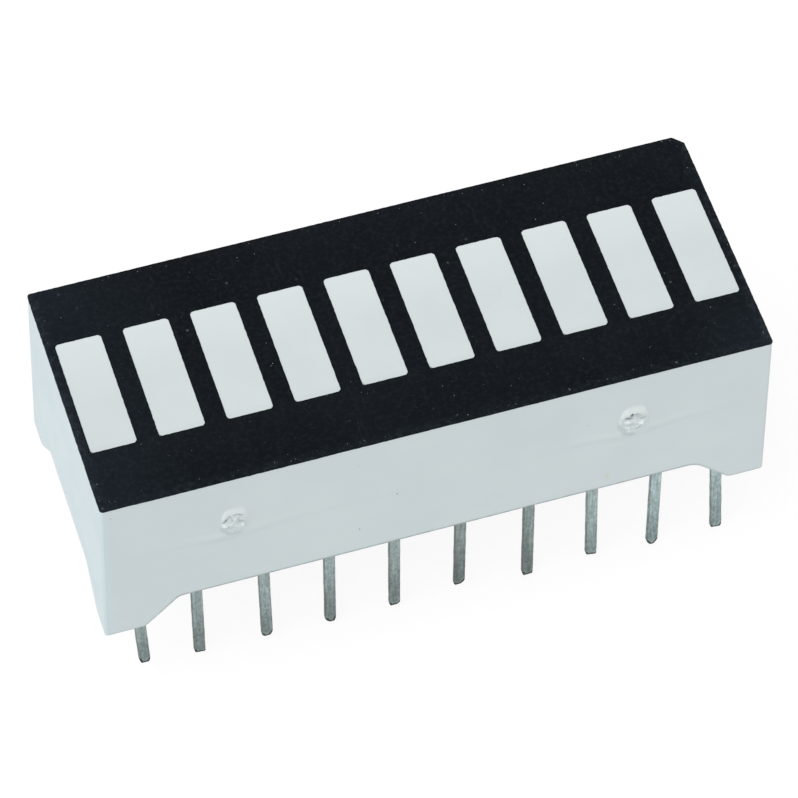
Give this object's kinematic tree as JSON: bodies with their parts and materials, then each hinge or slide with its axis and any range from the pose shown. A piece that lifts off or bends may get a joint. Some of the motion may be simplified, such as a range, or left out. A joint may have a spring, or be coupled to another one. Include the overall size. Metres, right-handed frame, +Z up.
{
  "type": "led bar graph",
  "caption": "Bar graph display: a white moulded block with a black face, flush rectangular light segments in a row and two rows of flat pins.",
  "frame": {"origin": "centre of the seating plane under the four feet, midway between the two rows of pins", "axes": "+X along the row of segments, +Y towards the rear row of pins, +Z up out of the display face; pin 1 is at the chamfered corner, +X +Y"},
  "size_m": [0.0254, 0.0102, 0.0129],
  "materials": {
    "white_housing": "satin white moulding",
    "black_coat": "satin black coat",
    "lens": "diffused white resin, satin",
    "board": "laminate",
    "copper": "etched copper",
    "solder": "solder",
    "sealant": "cast resin",
    "chip": "sawn semiconductor",
    "bond_wire": "drawn wire",
    "pins": "dull tin plate"
  },
  "bodies": {
    "root": {"reflector_housing": "white_housing", "black_face_coat": "black_coat", "circuit_board": "board", "board_tracks": "copper", "solder_joints": "solder", "back_sealant": "sealant", "segment_lens_01": "lens", "led_chip_01": "chip", "bond_wire_01": "bond_wire", "segment_lens_02": "lens", "led_chip_02": "chip", "bond_wire_02": "bond_wire", "segment_lens_03": "lens", "led_chip_03": "chip", "bond_wire_03": "bond_wire", "segment_lens_04": "lens", "led_chip_04": "chip", "bond_wire_04": "bond_wire", "segment_lens_05": "lens", "led_chip_05": "chip", "bond_wire_05": "bond_wire", "segment_lens_06": "lens", "led_chip_06": "chip", "bond_wire_06": "bond_wire", "segment_lens_07": "lens", "led_chip_07": "chip", "bond_wire_07": "bond_wire", "segment_lens_08": "lens", "led_chip_08": "chip", "bond_wire_08": "bond_wire", "segment_lens_09": "lens", "led_chip_09": "chip", "bond_wire_09": "bond_wire", "segment_lens_10": "lens", "led_chip_10": "chip", "bond_wire_10": "bond_wire", "pin_01": "pins", "pin_02": "pins", "pin_03": "pins", "pin_04": "pins", "pin_05": "pins", "pin_06": "pins", "pin_07": "pins", "pin_08": "pins", "pin_09": "pins", "pin_10": "pins", "pin_11": "pins", "pin_12": "pins", "pin_13": "pins", "pin_14": "pins", "pin_15": "pins", "pin_16": "pins", "pin_17": "pins", "pin_18": "pins", "pin_19": "pins", "pin_20": "pins"}
  },
  "joints": []
}
